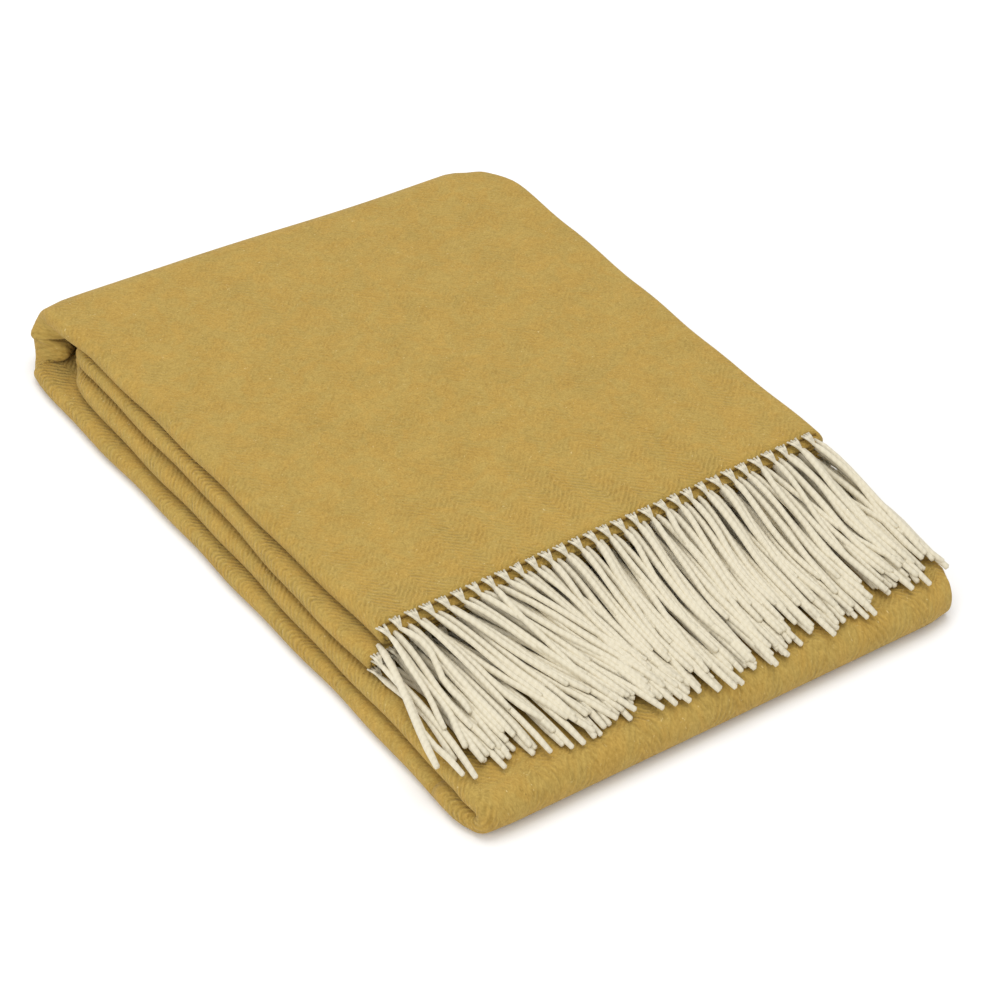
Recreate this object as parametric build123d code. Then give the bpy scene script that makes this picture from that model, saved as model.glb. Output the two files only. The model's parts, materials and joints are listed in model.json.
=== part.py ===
"""A wool throw with twisted fringes, folded in half twice across its width and twice along its length.

X is across the folded pack, Y runs from its front fold to its back folds, Z is up.
The origin is the centre of the underside. All lengths are in millimetres.
"""
from build123d import *
import math
import os

# Cloth
cloth_width = 1300.0
cloth_thickness = 2.5
layer_gap = 0.4
layers_per_strip = 4

# Folded pack, measured back from its front edge
pack_length = 495.0
top_edge_setback = 124.0
third_edge_setback = 116.0
inner_fold_inset = 20.0

# Fringe
cord_radius = 1.6
cord_lead = 10.0
cord_reach = 107.0
cord_slope = 30.0
cord_clearance = 0.35
tassels_per_layer = 31
columns_per_tassel = 3
column_spacing = 3.5
row_spacing = 3.5

# Sizes that follow from the ones above
layer_pitch = cloth_thickness + layer_gap
strip_height = layers_per_strip * layer_pitch
double_fold_radius = 1.5 * layer_pitch
single_fold_radius = 0.5 * layer_pitch
straight_width = (cloth_width - math.pi * (double_fold_radius + 2 * single_fold_radius)) / layers_per_strip
left_reach = double_fold_radius + cloth_thickness / 2
right_reach = single_fold_radius + cloth_thickness / 2
pack_width = straight_width + left_reach + right_reach
left_fold_x = left_reach - pack_width / 2
right_fold_x = pack_width / 2 - right_reach
middle_x = (left_fold_x + right_fold_x) / 2

pack_front = -pack_length / 2
front_fold_height = strip_height - layer_gap / 2
hinge_height = 2 * strip_height - layer_gap / 2
front_fold_y = pack_front + front_fold_height
outer_fold_y = pack_length / 2 - hinge_height
hinge_y = outer_fold_y - inner_fold_inset
top_edge_y = pack_front + top_edge_setback
third_edge_y = pack_front + third_edge_setback


def half_ring(x, height, radius, side):
    """One fold of the cloth seen end on: half of a ring, opening away from side (-1 left, 1 right)."""
    ring = Circle(radius + cloth_thickness / 2) - Circle(radius - cloth_thickness / 2)
    half = Pos(side * radius, 0) * Rectangle(2 * radius, 4 * radius)
    return Pos(x, height) * (ring & half)


def folded_section(strip, face_down):
    """The four layers of one strip, seen along Y, for strips counted up from the floor.

    The two free selvedges lie at the right, over the single fold, or under it when face_down is false.
    """
    order = 1 if face_down else -1
    middle = strip_height / 2
    section = Sketch()
    for layer in range(layers_per_strip):
        height = (layer + 0.5) * layer_pitch
        section += Pos(middle_x, height) * Rectangle(straight_width, cloth_thickness)
    section += half_ring(left_fold_x, middle, double_fold_radius, -1)
    section += half_ring(left_fold_x, middle, single_fold_radius, -1)
    section += half_ring(right_fold_x, middle - order * layer_pitch, single_fold_radius, 1)
    return Pos(0, strip * strip_height - layer_gap / 2) * section


def upright(section, y):
    """The section stood up in the XZ plane at y."""
    return Plane((0, y, 0), x_dir=(1, 0, 0), z_dir=(0, -1, 0)) * section


def run(section, front, back):
    """A straight stretch of a strip, from front to back."""
    return extrude(upright(section, back), amount=back - front)


def turn(section, y, height, towards_back):
    """Half a turn of a strip about a line along X, upward round its back or its front."""
    axis = Axis((0, y, height), (1 if towards_back else -1, 0, 0))
    return revolve(upright(section, y), axis=axis, revolution_arc=180)


def cord(root_y, root_height, row_height):
    """One twisted tassel: level out of the cloth's edge, down a slope, then level along its row."""
    drop = root_height - row_height
    tip_y = root_y - cord_reach
    mouth = Plane((0, root_y, root_height), x_dir=(1, 0, 0), z_dir=(0, -1, 0)) * Circle(cord_radius)
    if drop < cord_radius / 10:
        return extrude(mouth, amount=cord_reach)
    slope = math.radians(cord_slope)
    top_y = root_y - cord_lead
    foot_y = top_y - drop / math.tan(slope)
    route = [(0, root_y, root_height), (0, top_y, root_height), (0, foot_y, row_height), (0, tip_y, row_height)]
    bend = 0.45 * drop / math.sin(slope) / math.tan(slope / 2)
    path = FilletPolyline(*route, radius=min(bend, cord_lead))
    return sweep(mouth, path=path)


def fringe(edge_y, layer):
    """All the tassels of one layer of cloth; layers are counted up from the floor, from nought."""
    lowest = hinge_height - layer_gap / 2 + cord_clearance + cord_radius
    highest = 2 * hinge_height - cord_radius - layer_gap / 8
    centre = layer * layer_pitch + cloth_thickness / 2
    root_height = min(max(centre, lowest), highest)
    place = layer - 2 * layers_per_strip
    row_height = lowest + row_spacing * (place // columns_per_tassel)
    column = place % columns_per_tassel - (columns_per_tassel - 1) / 2
    one = cord(edge_y, root_height, row_height)
    pitch = straight_width / tassels_per_layer
    first_x = left_fold_x + pitch / 2 + column * column_spacing
    return Compound(children=[Pos(first_x + n * pitch, 0, 0) * one for n in range(tassels_per_layer)])


bottom_section = folded_section(0, True)
second_section = folded_section(1, False)
third_section = folded_section(2, True)
top_section = folded_section(3, False)

parts = {
    "bottom_run": run(bottom_section, front_fold_y, hinge_y),
    "front_fold": turn(bottom_section, front_fold_y, front_fold_height, False),
    "second_run": run(second_section, front_fold_y, hinge_y),
    "inner_back_fold": turn(second_section, hinge_y, hinge_height, True),
    "third_run": run(third_section, third_edge_y, hinge_y),
    "outer_back_fold": run(bottom_section, hinge_y, outer_fold_y)
    + turn(bottom_section, outer_fold_y, hinge_height, True)
    + run(top_section, hinge_y, outer_fold_y),
    "top_run": run(top_section, top_edge_y, hinge_y),
}
for layer in range(layers_per_strip):
    parts[f"third_fringe_{layer + 1}"] = fringe(third_edge_y, 2 * layers_per_strip + layer)
    parts[f"top_fringe_{layer + 1}"] = fringe(top_edge_y, 3 * layers_per_strip + layer)

os.makedirs("parts", exist_ok=True)
for name, shape in parts.items():
    export_step(shape, f"parts/{name}.step")

strip_lengths = [
    outer_fold_y - top_edge_y,
    math.pi * (hinge_height - strip_height / 2),
    outer_fold_y - front_fold_y,
    math.pi * strip_height / 2,
    hinge_y - front_fold_y,
    math.pi * strip_height / 2,
    hinge_y - third_edge_y,
]
print(f"pack {pack_width:.1f} x {pack_length:.1f} x {2 * hinge_height:.1f}, hinge y {hinge_y:.1f} z {hinge_height:.1f}")
print(f"cloth {cloth_width:.0f} x {sum(strip_lengths):.0f}, tassels {2 * layers_per_strip * tassels_per_layer}")
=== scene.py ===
"""A golden wool throw with twisted cream fringes, folded flat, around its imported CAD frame. Lengths are in metres."""
import json
import math

import bpy
import numpy as np
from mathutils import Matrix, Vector


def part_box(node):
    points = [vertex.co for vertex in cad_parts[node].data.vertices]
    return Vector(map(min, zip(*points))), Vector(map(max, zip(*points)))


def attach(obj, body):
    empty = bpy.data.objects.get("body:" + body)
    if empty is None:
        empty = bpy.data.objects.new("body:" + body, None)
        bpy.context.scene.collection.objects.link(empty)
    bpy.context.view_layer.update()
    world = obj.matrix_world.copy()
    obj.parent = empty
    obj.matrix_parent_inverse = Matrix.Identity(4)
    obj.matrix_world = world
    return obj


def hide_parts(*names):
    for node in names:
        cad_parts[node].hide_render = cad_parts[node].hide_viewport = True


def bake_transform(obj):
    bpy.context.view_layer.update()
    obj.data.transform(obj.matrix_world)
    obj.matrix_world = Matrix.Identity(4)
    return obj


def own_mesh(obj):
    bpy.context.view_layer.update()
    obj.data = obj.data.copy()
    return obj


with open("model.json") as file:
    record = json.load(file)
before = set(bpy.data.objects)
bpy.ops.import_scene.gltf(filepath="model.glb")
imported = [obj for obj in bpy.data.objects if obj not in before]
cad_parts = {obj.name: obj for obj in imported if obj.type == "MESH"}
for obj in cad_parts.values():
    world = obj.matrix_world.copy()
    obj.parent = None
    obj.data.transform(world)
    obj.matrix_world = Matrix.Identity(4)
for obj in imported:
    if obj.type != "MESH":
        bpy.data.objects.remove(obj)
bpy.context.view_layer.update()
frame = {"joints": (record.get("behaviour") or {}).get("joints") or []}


# ---- Cloth ----
# One length of wool, 1.30 m wide and woven in a fishbone twill, folded in half twice across its width and then
# twice along its length. It is made as two joined halves, cut where the underside hides it, near the front fold:
# the outer half is the top strip, the outer back fold and the bottom strip, and the inner half is the rest.
hinge_height = frame["joints"][0]["pos_m"][2]
hinge_y = frame["joints"][0]["pos_m"][1]
top_edge_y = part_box("top_run")[0].y
third_edge_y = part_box("third_run")[0].y
pack_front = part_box("front_fold")[0].y
pack_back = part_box("outer_back_fold")[1].y
pack_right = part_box("top_run")[1].x
cloth_width = 1.3
layer_gap = 0.0004
strip_height = (hinge_height + layer_gap / 2) / 2
layer_pitch = strip_height / 4
cloth_thickness = layer_pitch - layer_gap
outer_fold_y = pack_back - hinge_height
front_fold_y = pack_front + strip_height - layer_gap / 2


def walk(lengths, turns, start, heading):
    """A line walked over the given lengths, turning evenly by the given angle in each: the place after a distance is
    the start plus the running sums of the cosine and the sine of the heading. Returns distance, both and heading."""
    ends = np.concatenate([[0], np.cumsum(lengths)])
    distance = np.unique(np.concatenate([np.linspace(0, ends[-1], 12000), ends]))
    heading = np.interp(distance, ends, heading + np.concatenate([[0], np.cumsum(turns)]))
    middle = (heading[1:] + heading[:-1]) / 2
    step = np.diff(distance)
    along = start[0] + np.concatenate([[0], np.cumsum(np.cos(middle) * step)])
    up = start[1] + np.concatenate([[0], np.cumsum(np.sin(middle) * step)])
    return distance, along, up, heading


double_fold = math.pi * 1.5 * layer_pitch
single_fold = math.pi * 0.5 * layer_pitch
straight = (cloth_width - double_fold - 2 * single_fold) / 4
across_lengths = [straight, double_fold, straight, single_fold, straight, single_fold, straight]
across_turns = [0, math.pi, 0, math.pi, 0, -math.pi, 0]
right_fold_x = pack_right - layer_pitch / 2 - cloth_thickness / 2
across = walk(across_lengths, across_turns, (right_fold_x, 3.5 * layer_pitch), math.pi)
across_marks = np.concatenate([[0], np.cumsum(across_lengths)])

strip_middle = strip_height / 2
along_lengths = [
    outer_fold_y - top_edge_y,
    math.pi * 1.5 * strip_height,
    outer_fold_y - front_fold_y,
    math.pi * 0.5 * strip_height,
    hinge_y - front_fold_y,
    math.pi * 0.5 * strip_height,
    hinge_y - third_edge_y,
]
along_turns = [0, -math.pi, 0, -math.pi, 0, math.pi, 0]
along_marks = np.concatenate([[0], np.cumsum(along_lengths)])
along = walk(along_lengths, along_turns, (top_edge_y, 2 * hinge_height - strip_middle + layer_gap / 2), 0)
cloth_length = along_marks[-1]

# How far each strip reaches to the left and right at places along the cloth, from the edge of the top strip:
# the strips are laid a little short of one another, like a stair on the left.
edge_along = [0, 0.06, 0.12, 0.19, 0.25, 0.31, 0.348, 0.375, 0.403, 0.5, 0.65, 0.84, 0.872, 0.90, 1.1, 1.3, 1.33, 1.36, 1.5, 1.62, 1.676]
left_reach = [0.1445, 0.1450, 0.1465, 0.1480, 0.1480, 0.1500, 0.1565, 0.1670, 0.1700, 0.1690, 0.1670, 0.1655, 0.1650, 0.1610, 0.1600, 0.1600, 0.1560, 0.1525, 0.1530, 0.1560, 0.1550]
right_reach = [0.1590, 0.1615, 0.1625, 0.1645, 0.1680, 0.1690, 0.1690, 0.1660, 0.1660, 0.1650, 0.1640, 0.1600, 0.1580, 0.1590, 0.1630, 0.1640, 0.1630, 0.1630, 0.1640, 0.1640, 0.1640]


def smooth_step(value):
    """Nought below 0 and one above 1, and three times its square less twice its cube in between."""
    t = np.clip(value, 0, 1)
    return t * t * (3 - 2 * t)


def bump(value):
    """A bell that is one at 0 and fades to nought over a few units: e to the minus square."""
    return np.exp(-value * value)


def near_fold(v, first, spread):
    """One at the middle of the fold that starts at the given mark, falling to nought past its ends by the spread."""
    middle = (along_marks[first] + along_marks[first + 1]) / 2
    return smooth_step(1 - np.abs(v - middle) / (along_lengths[first] / 2 + spread))


def place(u, v):
    """Where the middle of the cloth's thickness lies, u across its width and v along its length, both in metres.

    The folded width gives x and a height in the strip. The folded length carries that height round each fold, as an
    offset square to its line. The measured reaches, pulled corners, a crease and low waves make it lie as cloth does.
    """
    flat_x = np.interp(u, across[0], across[1])
    inside = np.interp(u, across[0], across[2])
    y = np.interp(v, along[0], along[1])
    z = np.interp(v, along[0], along[2])
    heading = np.interp(v, along[0], along[3])
    offset = strip_middle - inside

    left = -np.interp(v, edge_along, left_reach)
    right = np.interp(v, edge_along, right_reach)
    side = flat_x / pack_right
    x = (left + right) / 2 + side * (right - left) / 2
    x = x + 0.0005 * np.sin(33 * v + 2) + 0.0004 * np.sin(87 * v)

    # The left end of the outer fold buckles: its layers fill the hollow in two lobes, with a crease between them.
    outer_turn = (v - along_marks[1]) / along_lengths[1]
    in_turn = np.clip(outer_turn, 0, 1)
    from_left = (x - left) / 0.03
    creases = 0.95 * bump((in_turn - 0.46) / 0.055) + 0.25 * bump((in_turn - 0.82) / 0.07)
    lobes = smooth_step(in_turn / 0.34) * smooth_step((1 - in_turn) / 0.34) * (1 - creases) * bump(from_left)
    slump = lobes * inside / strip_height
    notch = bump((outer_turn - 0.46) / 0.045) * bump(from_left)
    offset = offset - 0.0032 * notch + 0.0006 * bump((outer_turn - 0.28) / 0.12) * bump(from_left)
    inner_turn = (v - along_marks[5]) / along_lengths[5]
    offset = offset + 0.0010 * np.sin(np.pi * np.clip(inner_turn, 0, 1)) * np.sin(2 * np.pi * 4 * inner_turn) * bump(from_left)

    # Near its fringe the top layer lies a little further back than the layers under it, which show as a ledge.
    ledge = 0.0055 * smooth_step(inside / layer_pitch - 0.5) * smooth_step(1 - v / 0.08)

    # The strips swell a little at their rolled left side.
    roll = bump((flat_x + pack_right) / 0.010)
    offset = offset * (1 + 0.025 * roll)

    y = y - np.sin(heading) * offset - 0.019 * slump - ledge
    z = z + np.cos(heading) * offset
    x = x + 0.013 * slump

    # Corners: towards a fold's middle its ends draw in, and the fold itself falls back at its ends.
    end = smooth_step((np.abs(side) - 0.72) / 0.28)
    tip = smooth_step((np.abs(side) - 0.86) / 0.14)
    outer = near_fold(v, 1, 0.035)
    front = near_fold(v, 3, 0.016)
    inner = near_fold(v, 5, 0.014)
    draw = np.where(side > 0, 0.020, 0.004) * outer ** 1.5 + np.where(side > 0, 0.006, 0.004) * front ** 1.5 + 0.006 * inner
    x = x - np.sign(side) * draw * end
    y = y - (np.where(side > 0, 0.009, 0.004) * outer - np.where(side > 0, 0.003, 0.0015) * front + 0.004 * inner) * tip

    # The outer fold lies further back at its left end, and the front fold further forward at its right.
    behind = smooth_step((y - 0.12) / 0.12)
    before = smooth_step((-0.14 - y) / 0.09)
    outside = np.interp(v, along_marks, [1, 1, 1, 1, 1, 0.3, 0.3, 0])
    y = y + (0.0042 - 0.05 * x) * behind * outside
    y = y - (0.0075 + 0.014 * x) * before * (v > along_marks[2])

    wave = np.sin(21 * x + 12 * y + 0.6) + 0.7 * np.sin(-29 * x + 19 * y + 2.1) + 0.5 * np.sin(43 * x + 34 * y)
    z = z * (1 + 0.010 * wave * smooth_step(np.abs(z - hinge_height) / 0.008))
    return np.stack([x, y, z], axis=-1)


def spread(marks, steps):
    """Parameter values from mark to mark, with the given number of even steps in each stretch."""
    runs = [np.linspace(a, b, n, endpoint=False) for a, b, n in zip(marks[:-1], marks[1:], steps)]
    return np.concatenate(runs + [[marks[-1]]])


def grid_faces(rows, columns, first=0):
    """Four-sided faces between neighbouring points of a grid whose points are numbered row by row from first."""
    corner = first + np.arange((rows - 1) * columns).reshape(rows - 1, columns)[:, :-1].ravel()
    return np.stack([corner, corner + 1, corner + columns + 1, corner + columns], axis=-1)


def make_mesh(name, points, faces, uv, uv_name):
    """A smooth mesh object from points, four-sided faces and one texture place for each point."""
    mesh = bpy.data.meshes.new(name)
    mesh.from_pydata(points.tolist(), [], faces.tolist())
    layer = mesh.uv_layers.new(name=uv_name)
    layer.data.foreach_set("uv", uv[faces.ravel()].astype(np.float32).ravel())
    mesh.polygons.foreach_set("use_smooth", np.ones(len(mesh.polygons), bool))
    mesh.update()
    piece = bpy.data.objects.new(name, mesh)
    bpy.context.scene.collection.objects.link(piece)
    return piece


def thick_sheet(name, u, v):
    """A closed sheet of cloth: the placed grid moved half the thickness each way along its normal, with its rim shut."""
    grid_v, grid_u = np.meshgrid(v, u, indexing="ij")
    middle = place(grid_u, grid_v)
    small = 2e-5
    right = place(grid_u + small, grid_v) - place(grid_u - small, grid_v)
    ahead = place(grid_u, grid_v + small) - place(grid_u, grid_v - small)
    normal = np.cross(right, ahead)
    normal /= np.linalg.norm(normal, axis=-1, keepdims=True)
    half = normal * cloth_thickness / 2
    rows, columns = middle.shape[:2]
    count = rows * columns
    points = np.concatenate([(middle + half).reshape(-1, 3), (middle - half).reshape(-1, 3)])
    points[:, 2] = np.maximum(points[:, 2], 0.0001)
    face = grid_faces(rows, columns)
    number = np.arange(count).reshape(rows, columns)
    rim = np.concatenate([number[0], number[1:, -1], number[-1, -2::-1], number[-2:0:-1, 0]])
    following = np.roll(rim, -1)
    wall = np.stack([rim, rim + count, following + count, following], axis=-1)
    uv = np.stack([grid_u, grid_v], axis=-1).reshape(-1, 2)
    faces = np.concatenate([face, face[:, ::-1] + count, wall])
    return make_mesh(name, points, faces, np.concatenate([uv, uv]), "cloth")


u_grid = spread(across_marks, [44, 14, 44, 8, 44, 8, 44])
cut = along_marks[3] - 0.03
outer_half = thick_sheet("throw_outer_half", u_grid, spread(np.append(along_marks[:3], cut), [50, 40, 50]))
inner_half = thick_sheet("throw_inner_half", u_grid, spread(np.insert(along_marks[3:], 0, cut), [5, 20, 50, 20, 44]))

# The cloth's material. The fishbone twill is read from the cloth's own metres: ropes of weave 2.7 mm apart run at
# 45 degrees and turn back every 15.5 mm across. A brushed nap covers it in patches.
wool = bpy.data.materials.new("golden_wool")
wool.use_nodes = True
nodes = wool.node_tree.nodes
links = wool.node_tree.links
shader = nodes["Principled BSDF"]
shader.inputs["Roughness"].default_value = 0.92
shader.inputs["Specular IOR Level"].default_value = 0.15
shader.inputs["Sheen Weight"].default_value = 0.12
shader.inputs["Sheen Roughness"].default_value = 0.55
shader.inputs["Sheen Tint"].default_value = (0.95, 0.84, 0.6, 1)


def math_node(operation, first, second=None, third=None, clamp=False):
    """A maths node of the wool's tree: each of its inputs is a number or another node's output."""
    node = nodes.new("ShaderNodeMath")
    node.operation = operation
    node.use_clamp = clamp
    for socket, value in zip(node.inputs, (first, second, third)):
        if value is None:
            continue
        if isinstance(value, (int, float)):
            socket.default_value = value
        else:
            links.new(value, socket)
    return node.outputs[0]


def noise(vector, scale, detail=2.0, roughness=0.5, distortion=0.0):
    """A noise of the wool's tree, read at the vector times the scale, from nought to one about a half."""
    node = nodes.new("ShaderNodeTexNoise")
    node.inputs["Scale"].default_value = scale
    node.inputs["Detail"].default_value = detail
    node.inputs["Roughness"].default_value = roughness
    node.inputs["Distortion"].default_value = distortion
    links.new(vector, node.inputs["Vector"])
    return node.outputs["Fac"]


def ramp(value, low, high):
    """Nought up to low, one from high, and even in between."""
    node = nodes.new("ShaderNodeMapRange")
    node.inputs["From Min"].default_value = low
    node.inputs["From Max"].default_value = high
    links.new(value, node.inputs["Value"])
    return node.outputs["Result"]


def mix_colour(share, first, second, blend="MIX"):
    """A mix of two colours by the share, each a colour or another node's output."""
    node = nodes.new("ShaderNodeMix")
    node.data_type = "RGBA"
    node.blend_type = blend
    if isinstance(share, (int, float)):
        node.inputs[0].default_value = share
    else:
        links.new(share, node.inputs[0])
    for socket, value in ((node.inputs[6], first), (node.inputs[7], second)):
        if isinstance(value, tuple):
            socket.default_value = value
        else:
            links.new(value, socket)
    return node.outputs[2]


uv_map = nodes.new("ShaderNodeUVMap")
uv_map.uv_map = "cloth"
cloth_place = uv_map.outputs["UV"]
separate = nodes.new("ShaderNodeSeparateXYZ")
links.new(cloth_place, separate.inputs[0])
rope_pitch = 0.00388
column_width = 0.0155
wander = math_node("MULTIPLY", math_node("SUBTRACT", noise(cloth_place, 130, 2), 0.5), 0.0050)
fold_back = math_node("PINGPONG", math_node("ADD", separate.outputs["X"], 0.0035), column_width)
zigzag = math_node("SMOOTH_MIN", fold_back, column_width - 0.0006, 0.0024)
rope_place = math_node("ADD", math_node("ADD", separate.outputs["Y"], zigzag), wander)
rope = math_node("SINE", math_node("MULTIPLY", rope_place, 2 * math.pi / rope_pitch))
rope_height = math_node("MULTIPLY_ADD", rope, 0.5, 0.5)
fibres = noise(cloth_place, 900, 3, 0.6, 0.4)
tufts = noise(cloth_place, 300, 3, 0.6, 0.8)
clouds = noise(cloth_place, 38, 3, 0.55)
wide_clouds = noise(cloth_place, 9, 2, 0.5)
brushed = ramp(math_node("ADD", math_node("MULTIPLY", clouds, 0.6), math_node("MULTIPLY", wide_clouds, 0.5)), 0.47, 0.63)
along_cloth = separate.outputs["Y"]
near_fringe = math_node("MULTIPLY", ramp(along_cloth, 0.11, 0.01), 0.45)
under_side = math_node("MULTIPLY", ramp(along_cloth, 0.345, 0.40), 0.45)
from_roll = math_node("ABSOLUTE", math_node("SUBTRACT", separate.outputs["X"], straight + double_fold / 2))
on_roll = math_node("MULTIPLY", ramp(from_roll, 0.045, 0.008), 0.10)
clear = math_node("ADD", math_node("ADD", near_fringe, under_side), math_node("ADD", on_roll, 0.22), clamp=True)
weave_shows = math_node("MULTIPLY", clear, math_node("SUBTRACT", 1.0, math_node("MULTIPLY", brushed, 0.75)))
broken = ramp(noise(cloth_place, 260, 2, 0.6), 0.35, 0.62)
weave_shows = math_node("MULTIPLY", weave_shows, math_node("MULTIPLY_ADD", broken, 0.9, 0.35))
rope_shows = math_node("MULTIPLY", math_node("SUBTRACT", rope_height, 0.5), weave_shows)
# The weave's colour follows its relief: the ropes are lighter and the valleys between them are darker. This is the
# fishbone pattern plus painted shade in the valleys. The painted shade is stronger near the fringe, under the outer
# fold and on the rolled left sides.
tone = math_node("MULTIPLY_ADD", rope_shows, 0.42, 0.5)
tone = math_node("ADD", tone, math_node("MULTIPLY", math_node("SUBTRACT", fibres, 0.5), 0.95))
tone = math_node("ADD", tone, math_node("MULTIPLY", math_node("SUBTRACT", tufts, 0.5), 0.60))
tone = math_node("ADD", tone, math_node("MULTIPLY", math_node("SUBTRACT", clouds, 0.5), 0.30), clamp=True)
warm = mix_colour(tone, (0.242, 0.141, 0.0225, 1), (0.550, 0.356, 0.086, 1))
olive = mix_colour(tone, (0.232, 0.147, 0.027, 1), (0.530, 0.366, 0.098, 1))
colour = mix_colour(ramp(noise(cloth_place, 70, 3, 0.6, 0.6), 0.40, 0.60), warm, olive)
light_fleck = ramp(noise(cloth_place, 480, 2, 0.7, 1.5), 0.68, 0.76)
colour = mix_colour(math_node("MULTIPLY", light_fleck, 0.6), colour, (0.78, 0.64, 0.32, 1))
dark_fleck = ramp(noise(cloth_place, 520, 2, 0.7, 1.0), 0.31, 0.25)
colour = mix_colour(math_node("MULTIPLY", dark_fleck, 0.6), colour, (0.16, 0.10, 0.02, 1))
links.new(colour, shader.inputs["Base Color"])
height = math_node("ADD", math_node("MULTIPLY", rope_shows, 1.2), math_node("MULTIPLY", tufts, 0.9))
height = math_node("ADD", height, math_node("MULTIPLY", fibres, 0.5))
relief = nodes.new("ShaderNodeBump")
relief.inputs["Strength"].default_value = 0.8
relief.inputs["Distance"].default_value = 0.0007
links.new(height, relief.inputs["Height"])
links.new(relief.outputs["Normal"], shader.inputs["Normal"])

for half in (outer_half, inner_half):
    half.data.materials.append(wool)


# ---- Fringes ----
# Both ends of the cloth finish in 124 tassels, 31 for each of its 4 layers. The loose warp is gathered from a small
# fan of yarns into one two-ply twisted cord, cut blunt. They are pure cream wool and lie forward on the second strip.
tassels_per_layer = 31
cord_radius = 0.00185
rest_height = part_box("second_run")[1].z + 0.0004
cream = bpy.data.materials.new("cream_yarn")
cream.use_nodes = True
nodes = cream.node_tree.nodes
links = cream.node_tree.links
yarn_shader = nodes["Principled BSDF"]
yarn_shader.inputs["Roughness"].default_value = 0.9
yarn_shader.inputs["Specular IOR Level"].default_value = 0.15
yarn_shader.inputs["Sheen Weight"].default_value = 0.10
yarn_shader.inputs["Sheen Roughness"].default_value = 0.5
yarn_uv = nodes.new("ShaderNodeUVMap")
yarn_uv.uv_map = "cord"
yarn_place = yarn_uv.outputs["UV"]
cord_parts = nodes.new("ShaderNodeSeparateXYZ")
links.new(yarn_place, cord_parts.inputs[0])
twist_pitch = 0.0085
plies = 2
twist = math_node("MULTIPLY_ADD", cord_parts.outputs["X"], plies * 2 * math.pi, math_node("MULTIPLY", cord_parts.outputs["Y"], plies * 2 * math.pi / twist_pitch))
ply = math_node("MULTIPLY_ADD", math_node("SINE", twist), 0.5, 0.5)
object_place = nodes.new("ShaderNodeTexCoord").outputs["Object"]
wisps = noise(object_place, 900, 3, 0.6)
# The plies are painted lighter on their crowns and darker in the grooves between them. This is painted shade on the
# one-coloured cream yarn, and the wisps add random tone.
twist_shade_and_wisps = math_node("MULTIPLY_ADD", math_node("POWER", ply, 0.5), 0.30, math_node("MULTIPLY_ADD", wisps, 0.5, 0.2), clamp=True)
links.new(mix_colour(twist_shade_and_wisps, (0.56, 0.50, 0.36, 1), (0.72, 0.66, 0.515, 1)), yarn_shader.inputs["Base Color"])
yarn_relief = nodes.new("ShaderNodeBump")
yarn_relief.inputs["Strength"].default_value = 0.5
yarn_relief.inputs["Distance"].default_value = 0.0003
links.new(math_node("ADD", ply, math_node("MULTIPLY", wisps, 0.5)), yarn_relief.inputs["Height"])
links.new(yarn_relief.outputs["Normal"], yarn_shader.inputs["Normal"])


def tubes(paths, radii, sides):
    """Closed tubes round many paths at once: each ring is the path's place plus the radius times a turning vector that
    is square to the path. Paths are [tube, point, xyz] and radii [tube, point]. Returns points, faces and UVs."""
    count, length = radii.shape
    ahead = np.gradient(paths, axis=1)
    ahead /= np.linalg.norm(ahead, axis=-1, keepdims=True)
    across_path = np.cross(ahead, np.array([0.05, 0.0, 1.0]))
    across_path /= np.linalg.norm(across_path, axis=-1, keepdims=True)
    upward = np.cross(across_path, ahead)
    angle = np.arange(sides) * 2 * np.pi / sides
    ring = np.cos(angle)[:, None] * across_path[:, :, None, :] + np.sin(angle)[:, None] * upward[:, :, None, :]
    rings = paths[:, :, None, :] + radii[:, :, None, None] * ring
    caps = paths[:, [0, -1]] + ahead[:, [0, -1]] * radii[:, [0, -1], None] * np.array([-0.5, 0.5])[None, :, None]
    points = np.concatenate([rings.reshape(-1, 3), caps.reshape(-1, 3)])
    number = np.arange(count * length * sides).reshape(count, length, sides)
    after = np.roll(number, -1, axis=2)
    wall = np.stack([number[:, :-1], after[:, :-1], after[:, 1:], number[:, 1:]], axis=-1).reshape(-1, 4)
    cap = count * length * sides + np.arange(count * 2).reshape(count, 2)
    first = np.stack([after[:, 0], number[:, 0], np.broadcast_to(cap[:, :1], number[:, 0].shape)], axis=-1).reshape(-1, 3)
    last = np.stack([number[:, -1], after[:, -1], np.broadcast_to(cap[:, 1:], number[:, 0].shape)], axis=-1).reshape(-1, 3)
    steps = np.linalg.norm(np.diff(paths, axis=1), axis=-1)
    distance = np.concatenate([np.zeros((count, 1)), np.cumsum(steps, axis=1)], axis=1)
    turn = np.broadcast_to(np.abs(np.arange(sides) / sides), (count, length, sides))
    uv = np.stack([turn, np.broadcast_to(distance[:, :, None], turn.shape)], axis=-1).reshape(-1, 2)
    cap_uv = np.stack([np.zeros((count, 2)), distance[:, [0, -1]]], axis=-1).reshape(-1, 2)
    return points, wall, np.concatenate([first, last]), np.concatenate([uv, cap_uv])


def wrapped_uv(faces, uv, sides, walls):
    """One texture place for each face corner, with the wall's last face closing at one turn instead of back at 0."""
    corner = uv[faces.ravel()].reshape(*faces.shape, 2).copy()
    if walls:
        seam = corner[:, 0, 0] > corner[:, 1, 0]
        corner[seam, 1, 0] = 1
        corner[seam, 2, 0] = 1
    return corner.reshape(-1, 2)


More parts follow.
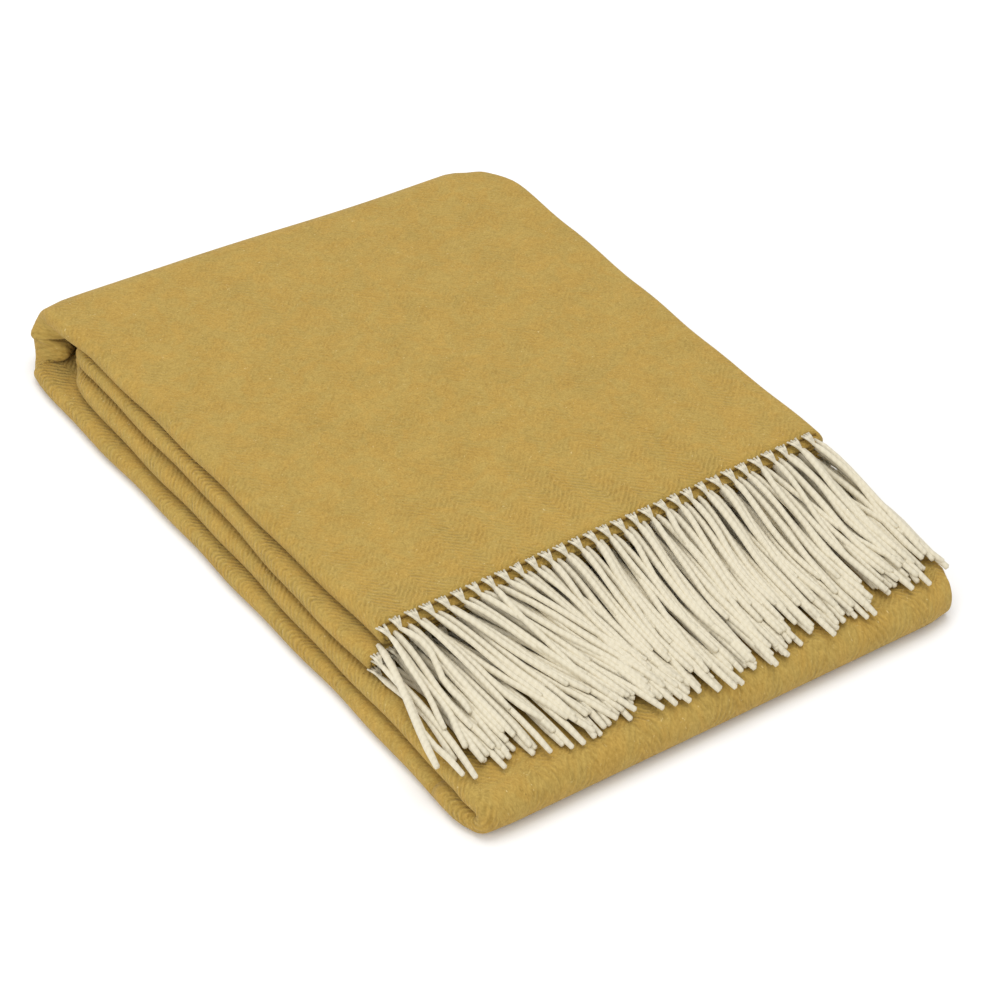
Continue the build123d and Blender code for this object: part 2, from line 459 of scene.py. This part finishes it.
def fringe(name, edge_v, first, row_offset, lean, tip_y, level, seed, interleave, tucked):
    """One row of 31 tassels on the cloth's edge at edge_v, from tassel number first, counted across the whole width.

    Each cord runs from the edge's own height down to the pile it lies on, in an S from its root to its tip. Three thin
    yarns fan out from the cord's start to the cloth."""
    rng = np.random.default_rng(seed)
    number = first + np.arange(tassels_per_layer)
    u = (number + 0.5) * cloth_width / (4 * tassels_per_layer)
    root = place(u, np.full_like(u, edge_v))
    root = root[np.argsort(root[:, 0])]
    if tucked:
        above = place((31.5 + np.arange(tassels_per_layer)) * cloth_width / (4 * tassels_per_layer), np.zeros(tassels_per_layer))
        aside = interleave * cloth_width / (4 * tassels_per_layer)
        root[:, 0] = above[:, 0] + aside + rng.normal(0, 0.0006, tassels_per_layer)
        root[:, 1] += 0.002
    x = root[:, 0]
    t = np.linspace(0, 1, 9)[None, :] ** 1.15
    slip = rng.normal(0, 1, (tassels_per_layer, 6))
    stray = (np.abs(slip[:, 5]) > 1.1) * slip[:, 4] * 0.010
    tip_x = x + np.interp(x, lean[0], lean[1]) + slip[:, 0] * 0.0024 + stray
    tip_x = np.minimum(tip_x, 0.157)
    tip = np.interp(tip_x, tip_y[0], tip_y[1]) + row_offset + slip[:, 1] * 0.0045
    start_y = root[:, 1] - (0.0 if tucked else 0.0070)
    bow = slip[:, 2] * 0.0016 + np.interp(x, [-0.15, -0.135, -0.12, 0.14, 0.156], [0.002, 0.001, 0.0, 0.0, 0.002])
    smooth = t ** 1.25 * (1.6 - 0.6 * t)
    path_x = x[:, None] + (tip_x - x)[:, None] * smooth + bow[:, None] * np.sin(np.pi * t)
    path_x = path_x + (slip[:, 3] * 0.0006)[:, None] * np.sin(3 * np.pi * t + slip[:, 0][:, None] * 3)
    path_y = start_y[:, None] + (tip - start_y)[:, None] * t
    under_edge = rest_height + cord_radius + 0.0016 * level
    at_tips = rest_height + cord_radius + 0.0008 * level
    pile = under_edge + (at_tips - under_edge) * smooth_step(t / 0.9)
    drop = 1 - smooth_step(t / (0.40 + 0.05 * level))
    wobble = rng.uniform(0, 0.0012, (tassels_per_layer, 1)) * np.sin(np.pi * t)
    path_z = pile + (root[:, 2:3] - under_edge) * drop + wobble
    paths = np.stack([path_x, path_y, path_z], axis=-1)
    thick = cord_radius * rng.uniform(0.90, 1.08, (tassels_per_layer, 1)) * (1.0 if level == 7 else 1.12)
    radii = thick * np.interp(t, [0, 0.08, 0.85, 0.96, 1], [0.62, 1, 1, 1.06, 0.8])
    cords = tubes(paths, radii, 5)

    fan = np.array([-1.0, -0.3, 0.35, 1.0])[None, :] + rng.normal(0, 0.12, (tassels_per_layer, 4))
    s = np.linspace(0, 1, 3)[None, None, :]
    spread_x = fan[:, :, None] * 0.0030 * (1 - s) ** 1.1
    back = 0.0001 + rng.uniform(0, 0.0011, (tassels_per_layer, 4, 1))
    from_root = root[:, None, None, :] + np.zeros((1, 4, 3, 1))
    into = (paths[:, 0] * 0.85 + paths[:, 1] * 0.15)[:, None, None, :]
    yarn = from_root * (1 - s[..., None]) + into * s[..., None]
    yarn[..., 0] += spread_x
    yarn[..., 1] += back * (1 - s)
    lift = cloth_thickness * 0.55 * (1 - s) ** 0.7
    yarn[..., 2] += lift + 0.0006 * np.sin(np.pi * s)
    yarn_paths = yarn.reshape(-1, 3, 3)
    yarn_radii = np.broadcast_to(np.array([0.55, 1.0, 1.1]) * 0.00110, (tassels_per_layer * 4, 3))
    yarns = tubes(yarn_paths, yarn_radii.copy(), 3)

    if tucked:
        yarns = [part[:0] for part in yarns]
    points = np.concatenate([cords[0], yarns[0]])
    base = len(cords[0])
    quads = np.concatenate([cords[1], yarns[1] + base])
    triangles = np.concatenate([cords[2], yarns[2] + base])
    quad_uv = np.concatenate([wrapped_uv(cords[1], cords[3], 5, True), wrapped_uv(yarns[1], yarns[3], 3, True)])
    triangle_uv = np.concatenate([wrapped_uv(cords[2], cords[3], 5, False), wrapped_uv(yarns[2], yarns[3], 3, False)])
    mesh = bpy.data.meshes.new(name)
    mesh.from_pydata(points.tolist(), [], quads.tolist() + triangles.tolist())
    layer = mesh.uv_layers.new(name="cord")
    layer.data.foreach_set("uv", np.concatenate([quad_uv, triangle_uv]).astype(np.float32).ravel())
    mesh.polygons.foreach_set("use_smooth", np.ones(len(mesh.polygons), bool))
    mesh.update()
    row = bpy.data.objects.new(name, mesh)
    bpy.context.scene.collection.objects.link(row)
    row.data.materials.append(cream)
    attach(row, "upper_half")
    return row


front_line = (
    [-0.160, -0.150, -0.140, -0.130, -0.117, -0.104, -0.090, -0.069, -0.040, -0.002, 0.060, 0.140, 0.150, 0.160],
    [-0.222, -0.224, -0.227, -0.230, -0.233, -0.238, -0.240, -0.237, -0.240, -0.245, -0.245, -0.242, -0.236, -0.230],
)
straight_lean = ([-0.16, -0.03, 0.10, 0.16], [-0.002, -0.004, -0.005, 0.002])
swept_lean = (
    [-0.150, -0.138, -0.125, -0.110, -0.095, -0.070, -0.050, -0.030, 0.000, 0.060, 0.120, 0.150],
    [-0.008, -0.004, 0.006, 0.022, 0.030, 0.027, 0.016, 0.002, -0.005, -0.008, -0.004, 0.001],
)
row_plan = [
    ("third_fringe_1", cloth_length, 31, 0.004, straight_lean, 0, 11, 0.0),
    ("third_fringe_2", cloth_length, 62, 0.001, straight_lean, 1, 12, 0.2),
    ("third_fringe_3", cloth_length, 93, 0.006, swept_lean, 2, 13, -0.2),
    ("third_fringe_4", cloth_length, 0, 0.000, swept_lean, 3, 14, 0.0),
    ("top_fringe_1", 0.0, 0, 0.007, swept_lean, 4, 15, -0.25),
    ("top_fringe_2", 0.0, 93, 0.012, swept_lean, 5, 16, 0.25),
    ("top_fringe_3", 0.0, 62, 0.018, swept_lean, 6, 17, 0.5),
    ("top_fringe_4", 0.0, 31, 0.034, swept_lean, 7, 18, 0.0),
]
for name, edge_v, first, row_offset, lean, level, seed, interleave in row_plan:
    tucked = name in ("top_fringe_1", "top_fringe_2", "top_fringe_3")
    row = fringe(name + "_cords", edge_v, first, row_offset, lean, front_line, level, seed, interleave, tucked)
    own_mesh(row)
    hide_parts(name)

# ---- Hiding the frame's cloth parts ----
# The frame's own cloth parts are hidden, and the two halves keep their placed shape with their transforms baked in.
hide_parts("top_run", "outer_back_fold", "bottom_run")
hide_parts("front_fold", "second_run", "inner_back_fold", "third_run")
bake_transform(outer_half)
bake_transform(inner_half)


# ---- Camera, floor and light ----
# A long lens looks down at the front left corner. The floor is plain white, under a white room and two large soft lamps.
camera_data = bpy.data.cameras.new("camera")
camera_data.lens = 100.3
camera_data.sensor_width = 36
camera_data.clip_end = 20
camera = bpy.data.objects.new("camera", camera_data)
bpy.context.scene.collection.objects.link(camera)
bpy.context.scene.camera = camera
azimuth = math.radians(-34.41)
elevation = math.radians(38.74)
aim = Vector((0.0038, -0.0248, 0))
back = Vector(
    (math.sin(azimuth) * math.cos(elevation), -math.cos(azimuth) * math.cos(elevation), math.sin(elevation))
)
camera.location = aim + back * 1.636
camera.rotation_euler = back.to_track_quat("Z", "Y").to_euler()

floor_mesh = bpy.data.meshes.new("floor")
floor_mesh.from_pydata([(-6, -6, 0), (6, -6, 0), (6, 6, 0), (-6, 6, 0)], [], [(0, 1, 2, 3)])
floor = bpy.data.objects.new("floor", floor_mesh)
bpy.context.scene.collection.objects.link(floor)
white = bpy.data.materials.new("floor_white")
white.use_nodes = True
white.node_tree.nodes["Principled BSDF"].inputs["Base Color"].default_value = (0.92, 0.92, 0.92, 1)
white.node_tree.nodes["Principled BSDF"].inputs["Roughness"].default_value = 0.8
floor.data.materials.append(white)

world = bpy.data.worlds.new("studio")
world.use_nodes = True
world.node_tree.nodes["Background"].inputs["Color"].default_value = (1, 1, 1, 1)
world.node_tree.nodes["Background"].inputs["Strength"].default_value = 0.85
bpy.context.scene.world = world
for name, place_at, size, power in (("key", (0.1, 0.1, 2.1), 1.8, 19), ("fill", (-1.8, -0.8, 1.0), 1.6, 12)):
    lamp = bpy.data.lights.new(name, "AREA")
    lamp.shape = "DISK"
    lamp.size = size
    lamp.energy = power
    holder = bpy.data.objects.new(name, lamp)
    holder.location = place_at
    holder.rotation_euler = Vector(place_at).to_track_quat("Z", "Y").to_euler()
    bpy.context.scene.collection.objects.link(holder)

bpy.context.scene.view_settings.view_transform = "Standard"
